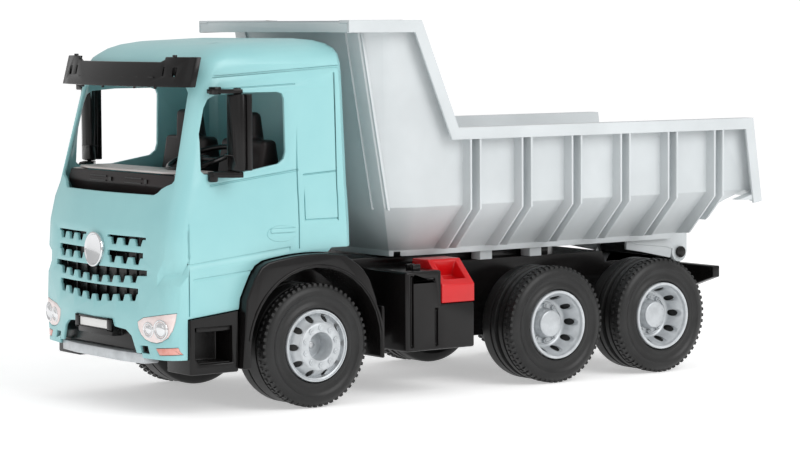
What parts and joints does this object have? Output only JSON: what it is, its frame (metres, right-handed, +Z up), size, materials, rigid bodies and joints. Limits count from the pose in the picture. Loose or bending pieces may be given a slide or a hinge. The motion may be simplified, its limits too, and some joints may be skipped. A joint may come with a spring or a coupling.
{
  "type": "toy tipper truck",
  "caption": "Large ride-around sand-pit toy tipper truck: open cab, ribbed tipping load bed on a rear pivot, twin-tyre rear bogie, folding mirrors and wheel chocks.",
  "frame": {"origin": "middle of the footprint, on the ground plane under the tyres", "axes": "+Z up, -Y towards the cab's nose, +X to the truck's left"},
  "size_m": [0.255, 0.624, 0.31],
  "materials": {
    "cab_blue": "semi-gloss moulded polypropylene, pale teal",
    "bed_grey": "semi-gloss moulded polypropylene, pale grey",
    "black_plastic": "satin black moulded plastic",
    "seat_grey": "fine-grained dark plastic",
    "tyre_black": "matt black moulded tyre",
    "rim_silver": "silver-pigmented moulded plastic",
    "steel": "drawn bright steel",
    "lamp_clear": "clear moulded lens, faint warm tint",
    "fog_amber": "translucent amber lens",
    "plate_white": "blank pale plate",
    "chock_red": "glossy red moulded plastic"
  },
  "bodies": {
    "root": {"axle_nut_front_left": "steel", "axle_nut_front_right": "steel", "bed_pivot_pin": "steel", "cab_interior": "black_plastic", "cab_shell": "cab_blue", "chassis_frame": "black_plastic", "driver_seat": "seat_grey", "fender_left": "black_plastic", "fender_right": "black_plastic", "fog_light_left": "fog_amber", "fog_light_right": "fog_amber", "front_axle": "steel", "grille_badge": "rim_silver", "grille_insert": "black_plastic", "headlight_left": "lamp_clear", "headlight_right": "lamp_clear", "intake_insert": "black_plastic", "mid_axle": "steel", "mirror_arm_left": "black_plastic", "mirror_arm_right": "black_plastic", "number_plate": "plate_white", "passenger_seat": "seat_grey", "rear_axle": "steel", "rear_bumper": "black_plastic", "side_box_left": "black_plastic", "side_box_right": "black_plastic", "side_step_left": "black_plastic", "side_step_right": "black_plastic", "skid_plate": "rim_silver", "steering_wheel": "black_plastic", "sun_visor": "black_plastic", "wheel_chock_left": "chock_red", "wheel_chock_right": "chock_red"},
    "wheel_front_left": {"tyre_front_left": "tyre_black", "rim_front_left": "rim_silver"},
    "wheel_front_right": {"tyre_front_right": "tyre_black", "rim_front_right": "rim_silver"},
    "wheel_mid_left": {"tyre_mid_left": "tyre_black", "rim_mid_left": "rim_silver", "hub_cap_mid_left": "rim_silver"},
    "wheel_mid_right": {"tyre_mid_right": "tyre_black", "rim_mid_right": "rim_silver", "hub_cap_mid_right": "rim_silver"},
    "wheel_rear_left": {"tyre_rear_left": "tyre_black", "rim_rear_left": "rim_silver", "hub_cap_rear_left": "rim_silver"},
    "wheel_rear_right": {"tyre_rear_right": "tyre_black", "rim_rear_right": "rim_silver", "hub_cap_rear_right": "rim_silver"},
    "tipper": {"tipper_body": "bed_grey"},
    "mirror_left": {"mirror_head_left": "black_plastic"},
    "mirror_right": {"mirror_head_right": "black_plastic"}
  },
  "joints": [
    {"name": "wheel_front_left_spin", "type": "hinge", "parent": "root", "child": "wheel_front_left", "pos_m": [0.0887, -0.1707, 0.05], "axis": [1, 0, 0], "continuous": true},
    {"name": "wheel_front_right_spin", "type": "hinge", "parent": "root", "child": "wheel_front_right", "pos_m": [-0.0887, -0.1707, 0.05], "axis": [1, 0, 0], "continuous": true},
    {"name": "wheel_mid_left_spin", "type": "hinge", "parent": "root", "child": "wheel_mid_left", "pos_m": [0.0887, 0.0779, 0.05], "axis": [1, 0, 0], "continuous": true},
    {"name": "wheel_mid_right_spin", "type": "hinge", "parent": "root", "child": "wheel_mid_right", "pos_m": [-0.0887, 0.0779, 0.05], "axis": [1, 0, 0], "continuous": true},
    {"name": "wheel_rear_left_spin", "type": "hinge", "parent": "root", "child": "wheel_rear_left", "pos_m": [0.0887, 0.196, 0.05], "axis": [1, 0, 0], "continuous": true},
    {"name": "wheel_rear_right_spin", "type": "hinge", "parent": "root", "child": "wheel_rear_right", "pos_m": [-0.0887, 0.196, 0.05], "axis": [1, 0, 0], "continuous": true},
    {"name": "tipper_tip", "type": "hinge", "parent": "root", "child": "tipper", "pos_m": [0, 0.266, 0.099], "axis": [-1, 0, 0], "range_deg": [0, 50]},
    {"name": "mirror_left_fold", "type": "hinge", "parent": "root", "child": "mirror_left", "pos_m": [0.1165, -0.2475, 0.223], "axis": [0, 0, 1], "range_deg": [-60, 10]},
    {"name": "mirror_right_fold", "type": "hinge", "parent": "root", "child": "mirror_right", "pos_m": [-0.1165, -0.2475, 0.223], "axis": [0, 0, 1], "range_deg": [-10, 60]}
  ]
}
